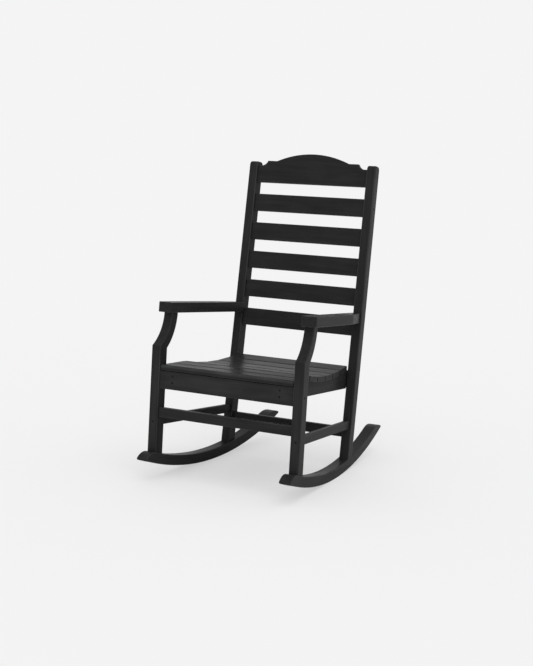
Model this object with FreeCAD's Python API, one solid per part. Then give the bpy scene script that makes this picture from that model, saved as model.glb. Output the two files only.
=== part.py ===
import FreeCAD, Part
import math
import os

# Ladder-back porch rocking chair of thick plastic boards, in millimetres, +Z up.
# The front faces -Y and +X is the sitter's left, at the right of someone facing the chair.
#
# The chair is drawn square to its front legs first: Y runs back from the front legs' face
# and Z up from the lowest point of the runners. At the end everything is leaned back to the
# angle at which the finished chair comes to rest, and centred on the floor.

V = FreeCAD.Vector

# Overall sizes
FRONT_WIDTH = 596.0            # across the front legs' outer faces
TOE_IN = 3.1                   # degrees that each side frame turns in towards the back
POST_RAKE = 5.7                # degrees that the posts lean back from the front legs
POST_RISE = 832.0              # post's length above SEAT_FRAME_Z
SEAT_FRAME_Z = 314.0           # underside of the front apron

# Legs and posts
LEG_WIDTH = 36.0
LEG_DEPTH = 44.0
POST_WIDTH = 36.0
POST_DEPTH = 44.0
KNEE_Z = 466.0                 # where the front leg starts to sweep back
SWEEP_RADIUS = 148.0           # front edge of the swept part
SWEEP_START = 57.0             # degrees from upright at the knee
POST_TOP_RADIUS = 13.0

# Runners
ROCKER_RADIUS = 1350.0         # underside
ROCKER_THICKNESS = 38.0
ROCKER_WIDTH = 44.0
ROCKER_BALANCE = 192.0         # lowest point, ahead of the posts' face
ROCKER_NOSE = 66.0             # ahead of the front legs' face
ROCKER_TAIL = 358.0            # behind the posts' face
ROCKER_NOSE_RADIUS = 28.0
ROCKER_TIP_RADIUS = 5.0

# Boards of the back
BOARD = 19.0                   # thickness of slats, aprons and stretchers
SLAT_HEIGHT = 67.0
SLAT_COUNT = 5
LOWEST_SLAT = 196.0            # underside along the post; the others are spaced to the crest
SLAT_RECESS = 8.0              # slat face behind the post's face
CREST_SHOULDER = 85.0          # board's height at its shoulders
CREST_PROUD = 8.0              # shoulders above the post tops
CREST_RISE = 31.0              # arch above the shoulders
SHOULDER_LENGTH = 39.0
COVE_LENGTH = 39.2             # scooped end, from the shoulder to the post
COVE_RADIUS = 30.0
COVE_DROP = 19.0
CREST_BLEND = 8.0              # between arch and shoulder

# Seat
APRON_HEIGHT = 64.0
APRON_RECESS = 2.0
SEAT_SLAT_WIDTH = 72.0
SEAT_SLAT_GAP = 6.0
SEAT_SLAT_COUNT = 7
SEAT_SLAT_LIFT = 3.0           # seat boards above the apron's top edge
SEAT_DIP = 17.5                # lowest point of the scoop below its front
SEAT_DIP_AHEAD = 185.0         # that point, ahead of the seat's back edge
SEAT_BACK_GAP = 0.7            # last seat board to the posts' face
SEAT_RAIL_THICKNESS = 38.0
SEAT_RAIL_GAP = 4.0            # rail to the posts' inner faces
SEAT_RAIL_BOTTOM = 13.6        # above the apron's underside, at the front
MEMBER_FALL = 0.0325           # drop of rails and side stretchers per unit of length
NOSE_RADIUS = 12.0

# Stretchers
FRONT_STRETCHER_Z = 211.0      # underside
FRONT_STRETCHER_HEIGHT = 35.0
FRONT_STRETCHER_RECESS = 5.0
REAR_STRETCHER_Z = 131.0
REAR_STRETCHER_HEIGHT = 34.0
REAR_STRETCHER_RECESS = 8.0
SIDE_STRETCHER_TOP = 211.5     # at the front legs' face
SIDE_STRETCHER_HEIGHT = 33.0

# Armrests
ARM_UNDERSIDE = 583.0          # at the front legs' face
ARM_FALL = 0.043
ARM_THICKNESS = 37.0
ARM_FRONT = 57.0
ARM_OUT = 14.0                 # overhang outside the leg
ARM_IN = 6.5                   # overhang inside the leg
ARM_CORNER = 10.0
ARM_TAPER_LENGTH = 131.0
ARM_TAPER_END = 7.0            # outer edge at the post, in from the post's outer face

# Edges and fits
EDGE_BEVEL = 2.0               # eased long edges
SIDE_GAP = 2.5                 # seat boards to legs and posts

# Headless screws
SCREW_RADIUS = 4.0
SCREW_SUNK = 0.8               # below the board's face
SCREW_CLEARANCE = 0.15         # all round every fastener
SCREW_LENGTH = 62.0
APRON_SCREWS = (25.0, 48.0)    # above the apron's underside, into a seat rail
APRON_END_SCREW = 30.0         # above the apron's underside, through a leg
SCREW_BITE = 20.0              # depth at which a side screw meets a board's middle
LEG_SCREW_LENGTH = 84.0

# Bolts up through the runners, and hidden dowels
BOLT_HEAD_RADIUS = 7.0
BOLT_HEAD_DEPTH = 6.0
BOLT_RADIUS = 4.0
BOLT_SUNK = 10.0
BOLT_LENGTH = 90.0
DOWEL_RADIUS = 5.0
DOWEL_LENGTH = 44.0

# Density check: high-density polyethylene boards
PLASTIC_DENSITY = 0.95e-6      # kg per cubic millimetre

HALF_FRONT = FRONT_WIDTH / 2
RAKE = math.radians(POST_RAKE)
TOE = math.radians(TOE_IN)
FAR = 2000.0
CLOSE = 0.01
BORE_OPEN = 3.0                # how far a bore's cutter stands out of its board
ALONG = 0.9999

SEAT_PITCH = SEAT_SLAT_WIDTH + SEAT_SLAT_GAP
SEAT_DEPTH = SEAT_SLAT_COUNT * SEAT_PITCH - SEAT_SLAT_GAP
RAIL_TOP = SEAT_FRAME_Z + APRON_HEIGHT + SEAT_SLAT_LIFT
POST_SETBACK = SEAT_DEPTH + SEAT_BACK_GAP - (RAIL_TOP - SEAT_FRAME_Z) * math.tan(RAKE)
ROCKER_CENTRE = POST_SETBACK - ROCKER_BALANCE
CREST_BOTTOM = POST_RISE + CREST_PROUD - CREST_SHOULDER
SLAT_PITCH = (CREST_BOTTOM - LOWEST_SLAT) / SLAT_COUNT


def face_of(edges):
    return Part.Face(Part.Wire(edges))


def polygon_face(points):
    return Part.Face(Part.makePolygon(points + [points[0]]))


def box(x0, x1, y0, y1, z0, z1):
    return Part.makeBox(x1 - x0, y1 - y0, z1 - z0, V(x0, y0, z0))


def eased(shape, direction):
    """Bevel the straight edges that run along a direction."""
    chosen = []
    for edge in shape.Edges:
        if edge.Curve.TypeId != "Part::GeomLine":
            continue
        run = edge.tangentAt(edge.FirstParameter)
        if abs(run.dot(direction)) > ALONG * direction.Length:
            chosen.append(edge)
    return shape.makeChamfer(EDGE_BEVEL, chosen)


def eased_outline(shape, axis, ends=()):
    """Bevel the outlines of the two flat faces across an axis, except at the ends' planes."""
    chosen = []
    for edge in shape.Edges:
        first, last = edge.Vertexes[0].Point, edge.Vertexes[-1].Point
        flat = abs((last - first).dot(axis)) < CLOSE and abs(
            (edge.CenterOfMass - first).dot(axis)) < CLOSE
        at_end = any(abs((edge.CenterOfMass - point).dot(normal)) < CLOSE for point, normal in ends)
        if flat and not at_end:
            chosen.append(edge)
    return shape.makeChamfer(EDGE_BEVEL, chosen)


def right_side(shape):
    """Place a piece drawn with its outer face on X = 0 into the toed-in right side frame."""
    placed = shape.copy()
    placed.rotate(V(0, 0, 0), V(0, 0, 1), TOE_IN)
    placed.translate(V(HALF_FRONT, 0, 0))
    return placed


def mirrored(shape):
    return shape.mirror(V(0, 0, 0), V(1, 0, 0))


def side_profile(points):
    """A vertical board in the side frame from (back, up) points, its outer face on X = 0."""
    return polygon_face([V(0, back, up) for back, up in points])


def inward(face, thickness, inset=0.0):
    """Give a side-frame face its thickness, starting at an inset from the outer face."""
    solid = face.extrude(V(-thickness, 0, 0))
    solid.translate(V(-inset, 0, 0))
    return solid


def between_sides(width, gap=0.0):
    """The space between the inner faces of two side members of the same width."""
    corners = []
    for back in (-FAR, FAR):
        inset = width + gap
        x = HALF_FRONT - inset * math.cos(TOE) - back * math.sin(TOE)
        y = back * math.cos(TOE) - inset * math.sin(TOE)
        corners.append((x, y))
    (x0, y0), (x1, y1) = corners
    base = polygon_face([V(-x0, y0, -FAR), V(x0, y0, -FAR), V(x1, y1, -FAR), V(-x1, y1, -FAR)])
    return base.extrude(V(0, 0, 2 * FAR))


def inner_face(y, width):
    """Half the space between two side members of that width, at a distance back."""
    return HALF_FRONT - width * math.cos(TOE) - math.tan(TOE) * (y + width * math.sin(TOE))


def post_face(up):
    """How far back the post's face is at a height."""
    return POST_SETBACK + (up - SEAT_FRAME_Z) * math.tan(RAKE)


def rocker_top(back):
    inner = ROCKER_RADIUS - ROCKER_THICKNESS
    return ROCKER_RADIUS - math.sqrt(inner ** 2 - (back - ROCKER_CENTRE) ** 2)


# Runners


def make_rocker():
    def on_arc(radius, back):
        lean = math.asin((back - ROCKER_CENTRE) / ROCKER_RADIUS)
        return V(0, ROCKER_CENTRE + radius * math.sin(lean), ROCKER_RADIUS - radius * math.cos(lean))

    inner = ROCKER_RADIUS - ROCKER_THICKNESS
    stops = (-ROCKER_NOSE, ROCKER_CENTRE, POST_SETBACK + ROCKER_TAIL)
    under = [on_arc(ROCKER_RADIUS, back) for back in stops]
    over = [on_arc(inner, back) for back in reversed(stops)]
    face = face_of([
        Part.Arc(*under).toShape(),
        Part.makeLine(under[2], over[0]),
        Part.Arc(*over).toShape(),
        Part.makeLine(over[2], under[0]),
    ])
    board = inward(face, ROCKER_WIDTH)
    for radius, corners in ((ROCKER_NOSE_RADIUS, (over[0], over[2])),
                            (ROCKER_TIP_RADIUS, (under[0], under[2]))):
        across = [edge for edge in board.Edges if near_end(edge, *corners)]
        board = board.makeFillet(radius, across)
    return eased_outline(board, V(1, 0, 0))


def near_end(edge, *corners):
    """True for an edge that runs across the board through one of the corners."""
    middle = edge.CenterOfMass
    return any(math.hypot(middle.y - p.y, middle.z - p.z) < CLOSE for p in corners)


# Front legs


def arm_underside(back):
    return ARM_UNDERSIDE - ARM_FALL * back


def arc_meets_arm(centre, radius):
    """The point where a sweep arc reaches the armrest's underside."""
    rise = ARM_UNDERSIDE - centre.z
    a = 1 + ARM_FALL ** 2
    b = -2 * (centre.y + rise * ARM_FALL)
    c = centre.y ** 2 + rise ** 2 - radius ** 2
    back = (-b + math.sqrt(b * b - 4 * a * c)) / (2 * a)
    return V(0, back, arm_underside(back))


def end_plane(start, end):
    """A cut across a side-frame board through two points, as a point and a normal."""
    run = end - start
    return start, V(0, -run.z, run.y).normalize()


def arc_between(centre, radius, start, end):
    middle = (start + end) * 0.5 - centre
    middle = centre + middle.normalize() * radius
    return Part.Arc(start, middle, end).toShape()


def sweep_centre():
    start = math.radians(SWEEP_START)
    return V(0, -SWEEP_RADIUS * math.cos(start), KNEE_Z + SWEEP_RADIUS * math.sin(start))


def leg_top():
    """Front and back of the joint between a front leg and its armrest."""
    centre = sweep_centre()
    return [arc_meets_arm(centre, SWEEP_RADIUS), arc_meets_arm(centre, SWEEP_RADIUS + LEG_WIDTH)]


def make_front_leg():
    centre = sweep_centre()
    outer_radius = SWEEP_RADIUS + LEG_WIDTH
    knee = V(0, 0, KNEE_Z)
    back_drop = math.sqrt(outer_radius ** 2 - (LEG_DEPTH - centre.y) ** 2)
    back_knee = V(0, LEG_DEPTH, centre.z - back_drop)
    top_front, top_back = leg_top()
    foot_front = V(0, 0, rocker_top(0))
    foot_back = V(0, LEG_DEPTH, rocker_top(LEG_DEPTH))
    face = face_of([
        Part.makeLine(foot_front, knee),
        arc_between(centre, SWEEP_RADIUS, knee, top_front),
        Part.makeLine(top_front, top_back),
        arc_between(centre, outer_radius, top_back, back_knee),
        Part.makeLine(back_knee, foot_back),
        Part.makeLine(foot_back, foot_front),
    ])
    ends = [end_plane(top_front, top_back), end_plane(foot_front, foot_back)]
    return eased_outline(inward(face, LEG_WIDTH), V(1, 0, 0), ends)


# Back posts


def post_point(depth, along):
    """A point of the post: depth behind its face, along it from SEAT_FRAME_Z."""
    back = POST_SETBACK + along * math.sin(RAKE) + depth * math.cos(RAKE)
    return back, SEAT_FRAME_Z + along * math.cos(RAKE) - depth * math.sin(RAKE)


def post_foot(depth, radius=ROCKER_RADIUS - ROCKER_THICKNESS):
    """Where a line of the post meets the runner's top, or another arc of the runner."""
    back, up = post_point(depth, 0)
    dy, dz = back - ROCKER_CENTRE, up - ROCKER_RADIUS
    along = dy * math.sin(RAKE) + dz * math.cos(RAKE)
    reach = -along - math.sqrt(along ** 2 - (dy ** 2 + dz ** 2 - radius ** 2))
    return post_point(depth, reach)


def make_back_post():
    face = side_profile([
        post_foot(0), post_point(0, POST_RISE), post_point(POST_DEPTH, POST_RISE),
        post_foot(POST_DEPTH)])
    post = inward(face, POST_WIDTH)
    corners = [V(0, *post_point(depth, POST_RISE)) for depth in (0, POST_DEPTH)]
    tops = [edge for edge in post.Edges if near_end(edge, *corners)]
    post = post.makeFillet(POST_TOP_RADIUS, tops)
    feet = end_plane(V(0, *post_foot(0)), V(0, *post_foot(POST_DEPTH)))
    return eased_outline(post, V(1, 0, 0), [feet])


# Back boards


BACK_FACE = POST_SETBACK * math.cos(TOE) - POST_WIDTH * math.sin(TOE) + SLAT_RECESS


def back_board_point(depth, along):
    """(y, z) of a point that deep in the back boards and that far up them."""
    return (BACK_FACE + depth * math.cos(RAKE) + along * math.sin(RAKE),
            SEAT_FRAME_Z + along * math.cos(RAKE) - depth * math.sin(RAKE))


def on_back(shape):
    """Lean a board drawn upright on the back and set it between the posts."""
    placed = shape.copy()
    placed.rotate(V(0, 0, 0), V(1, 0, 0), -POST_RAKE)
    placed.translate(V(0, BACK_FACE, SEAT_FRAME_Z))
    return placed.common(between_sides(POST_WIDTH))


def slat_bottom(number):
    """Height of a slat's underside along the back, counted down from the crest board."""
    return CREST_BOTTOM - number * SLAT_PITCH


def make_ladder_slat(number):
    bottom = slat_bottom(number)
    board = box(-HALF_FRONT, HALF_FRONT, 0, BOARD, bottom, bottom + SLAT_HEIGHT)
    return on_back(eased(board, V(1, 0, 0)))


def make_crest_rail():
    shoulder = CREST_BOTTOM + CREST_SHOULDER
    cove_inner = inner_face(back_board_point(0, shoulder)[0], POST_WIDTH) - COVE_LENGTH
    arch_half = cove_inner - SHOULDER_LENGTH
    cove_rise = COVE_RADIUS - COVE_DROP
    cove_at = cove_inner + math.sqrt(COVE_RADIUS ** 2 - cove_rise ** 2)
    cove_low = shoulder - COVE_DROP

    def cove(sign):
        centre = V(sign * cove_at, 0, shoulder + cove_rise)
        top = V(sign * cove_inner, 0, shoulder)
        low = V(sign * cove_at, 0, cove_low)
        return arc_between(centre, COVE_RADIUS, top, low)

    def at(x, up):
        return V(x, 0, up)

    face = face_of([
        Part.makeLine(at(-HALF_FRONT, CREST_BOTTOM), at(HALF_FRONT, CREST_BOTTOM)),
        Part.makeLine(at(HALF_FRONT, CREST_BOTTOM), at(HALF_FRONT, cove_low)),
        Part.makeLine(at(HALF_FRONT, cove_low), at(cove_at, cove_low)),
        cove(1),
        Part.makeLine(at(cove_inner, shoulder), at(arch_half, shoulder)),
        Part.Arc(at(arch_half, shoulder), at(0, shoulder + CREST_RISE),
                 at(-arch_half, shoulder)).toShape(),
        Part.makeLine(at(-arch_half, shoulder), at(-cove_inner, shoulder)),
        cove(-1),
        Part.makeLine(at(-cove_at, cove_low), at(-HALF_FRONT, cove_low)),
        Part.makeLine(at(-HALF_FRONT, cove_low), at(-HALF_FRONT, CREST_BOTTOM)),
    ])
    board = face.extrude(V(0, BOARD, 0))
    for radius, x in ((CREST_BLEND, arch_half), (EDGE_BEVEL, cove_inner)):
        across = [edge for edge in board.Edges
                  if math.hypot(abs(edge.CenterOfMass.x) - x, edge.CenterOfMass.z - shoulder) < CLOSE]
        board = board.makeFillet(radius, across)
    ends = [(V(sign * HALF_FRONT, 0, 0), V(1, 0, 0)) for sign in (-1, 1)]
    return on_back(eased_outline(board, V(0, 1, 0), ends))


# Seat


SEAT_DIP_AT = SEAT_DEPTH - SEAT_DIP_AHEAD
SCOOP_START = 2 * SEAT_PITCH
SCOOP_RADIUS = ((SEAT_DIP_AT - SCOOP_START) ** 2 + SEAT_DIP ** 2) / (2 * SEAT_DIP)
SCOOP_CENTRE_Z = RAIL_TOP - SEAT_DIP + SCOOP_RADIUS
REAR_APRON_FACE = post_face(RAIL_TOP) + APRON_RECESS
SEAT_RAIL_CENTRE = (inner_face(REAR_APRON_FACE, POST_WIDTH) - SEAT_RAIL_GAP
                    - SEAT_RAIL_THICKNESS / 2)


def scoop_point(angle):
    return (SEAT_DIP_AT + SCOOP_RADIUS * math.sin(angle),
            SCOOP_CENTRE_Z - SCOOP_RADIUS * math.cos(angle))


def scoop_angle(back):
    return math.asin((back - SEAT_DIP_AT) / SCOOP_RADIUS)


def slat_placement(number):
    """Tilt in degrees, and (y, z) of the lower front edge, of a seat board."""
    if number <= 2:
        return 0.0, ((number - 1) * SEAT_PITCH, RAIL_TOP)
    chord = 2 * math.asin(SEAT_SLAT_WIDTH / 2 / SCOOP_RADIUS)
    step = chord + SEAT_SLAT_GAP / SCOOP_RADIUS
    start = scoop_angle(SCOOP_START) + (number - 3) * step
    return math.degrees(start + chord / 2), scoop_point(start)


def make_seat_slat(number):
    board = box(-HALF_FRONT, HALF_FRONT, 0, SEAT_SLAT_WIDTH, 0, BOARD)
    if number == 1:
        nose = [edge for edge in board.Edges if near_end(edge, V(0, 0, BOARD))]
        board = board.makeFillet(NOSE_RADIUS, nose)
        rest = [edge for edge in board.Edges
                if near_end(edge, V(0, 0, 0), V(0, SEAT_SLAT_WIDTH, 0),
                            V(0, SEAT_SLAT_WIDTH, BOARD))]
        board = board.makeChamfer(EDGE_BEVEL, rest)
    else:
        board = eased(board, V(1, 0, 0))
    tilt, corner = slat_placement(number)
    board.rotate(V(0, 0, 0), V(1, 0, 0), tilt)
    board.translate(V(0, *corner))
    return board.common(between_sides(LEG_WIDTH, SIDE_GAP))


def rail_underside(back):
    return SEAT_FRAME_Z + SEAT_RAIL_BOTTOM - MEMBER_FALL * back


def make_seat_rail():
    front = APRON_RECESS + BOARD
    flat_end = SCOOP_START
    end = REAR_APRON_FACE
    start = V(0, flat_end, RAIL_TOP)
    low = V(0, *scoop_point(0))
    last = V(0, *scoop_point(scoop_angle(end)))
    face = face_of([
        Part.makeLine(V(0, front, rail_underside(front)), V(0, front, RAIL_TOP)),
        Part.makeLine(V(0, front, RAIL_TOP), start),
        Part.Arc(start, low, last).toShape(),
        Part.makeLine(last, V(0, end, rail_underside(end))),
        Part.makeLine(V(0, end, rail_underside(end)), V(0, front, rail_underside(front))),
    ])
    rail = face.extrude(V(SEAT_RAIL_THICKNESS, 0, 0))
    rail.translate(V(SEAT_RAIL_CENTRE - SEAT_RAIL_THICKNESS / 2, 0, 0))
    return rail


def cross_board(front, bottom, height, width):
    """A board from side to side, cut to the inner faces of legs or posts."""
    board = box(-HALF_FRONT, HALF_FRONT, front, front + BOARD, bottom, bottom + height)
    return eased(board, V(1, 0, 0)).common(between_sides(width))


# Side stretchers


REAR_STRETCHER_FACE = post_face(REAR_STRETCHER_Z + REAR_STRETCHER_HEIGHT) + REAR_STRETCHER_RECESS


def line_to_post(height, fall=MEMBER_FALL):
    """Where a falling line that starts at a height above the leg's face meets the post."""
    rise = (height - SEAT_FRAME_Z) * math.tan(RAKE)
    back = (POST_SETBACK + rise) / (1 + fall * math.tan(RAKE))
    return back, height - fall * back


def make_side_stretcher():
    top, bottom = SIDE_STRETCHER_TOP, SIDE_STRETCHER_TOP - SIDE_STRETCHER_HEIGHT
    face = side_profile([
        (LEG_DEPTH, top - MEMBER_FALL * LEG_DEPTH), line_to_post(top),
        line_to_post(bottom), (LEG_DEPTH, bottom - MEMBER_FALL * LEG_DEPTH)])
    stretcher = inward(face, BOARD, (LEG_WIDTH - BOARD) / 2)
    return eased(stretcher, V(0, 1, -MEMBER_FALL))


# Armrests


def make_armrest():
    slope = math.atan(ARM_FALL)
    under_end = (POST_SETBACK + (ARM_UNDERSIDE - SEAT_FRAME_Z) * math.tan(RAKE))
    beyond = under_end + POST_DEPTH
    inner = -(LEG_WIDTH + ARM_IN)
    taper_start = under_end - ARM_TAPER_LENGTH
    taper = (ARM_OUT + ARM_TAPER_END) / ARM_TAPER_LENGTH
    outline = polygon_face([
        V(inner, ARM_FRONT, 0), V(ARM_OUT, ARM_FRONT, 0), V(ARM_OUT, taper_start, 0),
        V(ARM_OUT - taper * (beyond - taper_start), beyond, 0), V(inner, beyond, 0)])
    arm = outline.extrude(V(0, 0, ARM_THICKNESS))
    corners = [edge for edge in arm.Edges
               if abs(edge.CenterOfMass.y - ARM_FRONT) < CLOSE
               and abs(edge.CenterOfMass.z - ARM_THICKNESS / 2) < CLOSE]
    arm = arm.makeFillet(ARM_CORNER, corners)
    arm = eased_outline(arm, V(0, 0, 1), [(V(0, beyond, 0), V(0, 1, 0))])
    arm.rotate(V(0, 0, 0), V(1, 0, 0), -math.degrees(slope))
    arm.translate(V(0, 0, ARM_UNDERSIDE))
    low, high = -FAR / 4, FAR / 2
    behind = side_profile([post_point(0, low), post_point(0, high),
                           post_point(FAR / 2, high), post_point(FAR / 2, low)])
    behind = inward(behind, FAR / 2, -FAR / 4)
    return arm.cut(behind)


# Fasteners


def turned(profile):
    """A solid of revolution about Z from (radius, height) points."""
    return polygon_face([V(r, 0, z) for r, z in profile]).revolve(V(0, 0, 0), V(0, 0, 1), 360)


def aimed(shape, start, direction):
    placed = shape.copy()
    placed.Placement = FreeCAD.Placement(start, FreeCAD.Rotation(V(0, 0, 1), direction))
    return placed


def screw(length, grow=0.0, top=SCREW_SUNK):
    """A headless screw below the face on Z = 0, or with growth the bore that clears it."""
    radius = SCREW_RADIUS + grow
    return turned([(0, top), (radius, top), (radius, length + grow), (0, length + grow)])


def bolt(length, grow=0.0, top=BOLT_SUNK):
    """A flat-topped bolt in its counterbore, or with growth the bore that clears it."""
    head, shank = BOLT_HEAD_RADIUS + grow, BOLT_RADIUS + grow
    neck = BOLT_SUNK + BOLT_HEAD_DEPTH
    return turned([(0, top), (head, top), (head, neck), (shank, neck),
                   (shank, length + grow), (0, length + grow)])


def dowel(length, grow=0.0, top=0.0):
    """A plain dowel from a start inside the joint, or with growth its blind hole."""
    radius, start = DOWEL_RADIUS + grow, max(top, 0.0) - grow
    return turned([(0, start), (radius, start), (radius, length + grow), (0, length + grow)])


def side_point(x, back, up):
    """A point of the right side frame, with X measured outwards from its outer face."""
    return V(HALF_FRONT + x * math.cos(TOE) - back * math.sin(TOE),
             x * math.sin(TOE) + back * math.cos(TOE), up)


def side_direction(x, back, up):
    return (side_point(x, back, up) - side_point(0, 0, 0)).normalize()


def end_screw(y, up, width):
    """A screw through a side member that width wide into the end of a board."""
    back = (y + (width + SCREW_BITE) * math.sin(TOE)) / math.cos(TOE)
    return side_point(0, back, up), side_direction(-1, 0, 0)


def apron_screws():
    return [(V(SEAT_RAIL_CENTRE, APRON_RECESS, SEAT_FRAME_Z + height), V(0, 1, 0),
             ("front_apron", "seat_rail")) for height in APRON_SCREWS]


def leg_screws():
    height = SIDE_STRETCHER_TOP - SIDE_STRETCHER_HEIGHT / 2 - MEMBER_FALL * LEG_DEPTH
    return [(side_point(-LEG_WIDTH / 2, 0, height), side_direction(0, 1, 0),
             ("front_leg", "side_stretcher"))]


def side_screws():
    apron = (APRON_RECESS + BOARD / 2, SEAT_FRAME_Z + APRON_END_SCREW)
    top_slat = back_board_point(BOARD / 2, slat_bottom(1) + SLAT_HEIGHT / 2)
    return [(*end_screw(*apron, LEG_WIDTH), ("front_leg", "front_apron")),
            (*end_screw(*top_slat, POST_WIDTH), ("back_post", "ladder_slat_1"))]


def rocker_bolts():
    under = ROCKER_RADIUS - math.sqrt(ROCKER_RADIUS ** 2 - (LEG_DEPTH / 2 - ROCKER_CENTRE) ** 2)
    behind = side_point(-POST_WIDTH / 2, *post_foot(POST_DEPTH / 2, ROCKER_RADIUS))
    return [
        (side_point(-LEG_WIDTH / 2, LEG_DEPTH / 2, under), V(0, 0, 1), ("rocker", "front_leg")),
        (behind, side_direction(0, math.sin(RAKE), math.cos(RAKE)), ("rocker", "back_post")),
    ]


def arm_dowels():
    """One dowel between leg and armrest, one between post and armrest, half in each."""
    front, back = leg_top()
    joint = (front + back) * 0.5
    upright = side_direction(0, ARM_FALL, 1)
    forward = side_direction(0, -math.cos(RAKE), math.sin(RAKE))
    end_back, end_up = line_to_post(ARM_UNDERSIDE + ARM_THICKNESS / 2, ARM_FALL)
    return [
        (side_point(-LEG_WIDTH / 2, joint.y, joint.z) - upright * (DOWEL_LENGTH / 2), upright,
         ("front_leg", "armrest")),
        (side_point(-POST_WIDTH / 2, end_back, end_up) - forward * (DOWEL_LENGTH / 2), forward,
         ("back_post", "armrest")),
    ]


FASTENERS = {
    "apron_screws": (screw, SCREW_LENGTH, apron_screws),
    "leg_screws": (screw, LEG_SCREW_LENGTH, leg_screws),
    "side_screws": (screw, SCREW_LENGTH, side_screws),
    "rocker_bolts": (bolt, BOLT_LENGTH, rocker_bolts),
    "arm_dowels": (dowel, DOWEL_LENGTH, arm_dowels),
}


def fasten(parts):
    """Add every group of fasteners, and cut its bores in the boards that it holds."""
    bores = {}
    for group, (make, length, places) in FASTENERS.items():
        solid = make(length)
        bore = make(length, SCREW_CLEARANCE, -BORE_OPEN)
        placed = []
        for start, direction, holds in places():
            for side, flip in (("_right", False), ("_left", True)):
                at = [aimed(shape, start, direction) for shape in (solid, bore)]
                piece, hole = [mirrored(shape) for shape in at] if flip else at
                placed.append(piece)
                for name in holds:
                    full = name + side if name + side in parts else name
                    bores.setdefault(full, []).append(hole)
        parts[group] = Part.makeCompound(placed)
    for name, holes in bores.items():
        parts[name] = parts[name].cut(holes)


# Assembly


def build():
    parts = {}

    def both_sides(name, shape):
        parts[name + "_right"] = shape
        parts[name + "_left"] = mirrored(shape)

    both_sides("rocker", right_side(make_rocker()))
    both_sides("front_leg", right_side(make_front_leg()))
    both_sides("back_post", right_side(make_back_post()))
    both_sides("side_stretcher", right_side(make_side_stretcher()))
    both_sides("armrest", right_side(make_armrest()))
    both_sides("seat_rail", make_seat_rail())
    parts["crest_rail"] = make_crest_rail()
    for number in range(1, SLAT_COUNT + 1):
        parts["ladder_slat_%d" % number] = make_ladder_slat(number)
    for number in range(1, SEAT_SLAT_COUNT + 1):
        parts["seat_slat_%d" % number] = make_seat_slat(number)
    parts["front_apron"] = cross_board(APRON_RECESS, SEAT_FRAME_Z, APRON_HEIGHT, LEG_WIDTH)
    parts["rear_apron"] = cross_board(REAR_APRON_FACE, SEAT_FRAME_Z, APRON_HEIGHT, POST_WIDTH)
    parts["front_stretcher"] = cross_board(
        FRONT_STRETCHER_RECESS, FRONT_STRETCHER_Z, FRONT_STRETCHER_HEIGHT, LEG_WIDTH)
    parts["rear_stretcher"] = cross_board(
        REAR_STRETCHER_FACE, REAR_STRETCHER_Z, REAR_STRETCHER_HEIGHT, POST_WIDTH)
    fasten(parts)
    return parts


def centre_of_mass(parts):
    solids = [solid for shape in parts.values() for solid in shape.Solids]
    total = sum(solid.Volume for solid in solids)
    moment = V(0, 0, 0)
    for solid in solids:
        moment = moment + solid.CenterOfMass * solid.Volume
    return moment * (1 / total), total


def rest_lean(parts):
    """Degrees of backward lean that bring the centre of mass over the runners' contact."""
    middle, _ = centre_of_mass(parts)
    centre_y = ROCKER_CENTRE * math.cos(TOE) - ROCKER_WIDTH / 2 * math.sin(TOE)
    return math.degrees(math.atan2(middle.y - centre_y, ROCKER_RADIUS - middle.z))


def settle(parts):
    """Lean every piece to the rest angle and centre the chair on the floor."""
    lean = rest_lean(parts)
    for shape in parts.values():
        shape.rotate(V(0, 0, 0), V(1, 0, 0), -lean)
    boxes = [shape.optimalBoundingBox() for shape in parts.values()]
    y_middle = (min(b.YMin for b in boxes) + max(b.YMax for b in boxes)) / 2
    floor = min(b.ZMin for b in boxes)
    for shape in parts.values():
        shape.translate(V(0, -y_middle, -floor))
    return lean


def main():
    parts = build()
    lean = settle(parts)
    os.makedirs("parts", exist_ok=True)
    for name, shape in parts.items():
        solids = shape.Solids
        piece = solids[0] if len(solids) == 1 else Part.makeCompound(solids)
        if not piece.isValid():
            print("invalid:", name)
        piece.exportStep("parts/%s.step" % name)
    middle, volume = centre_of_mass(parts)
    print("lean %.2f degrees, mass %.1f kg" % (lean, volume * PLASTIC_DENSITY))
    print("centre of mass", [round(c, 1) for c in middle])


main()
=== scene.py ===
"""Ladder-back porch rocking chair of black plastic boards.

Every board is drawn square to the chair's front legs, in metres: X to the side, Y back from
the front legs' face, Z up from the runners' lowest point. settle() then leans it back to the
rest angle and centres it on the floor, where the CAD model stands.
"""

import math

import bpy
import numpy as np
from bpy.props import FloatProperty, FloatVectorProperty, IntProperty, PointerProperty
from mathutils import Matrix, Vector, geometry


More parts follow.
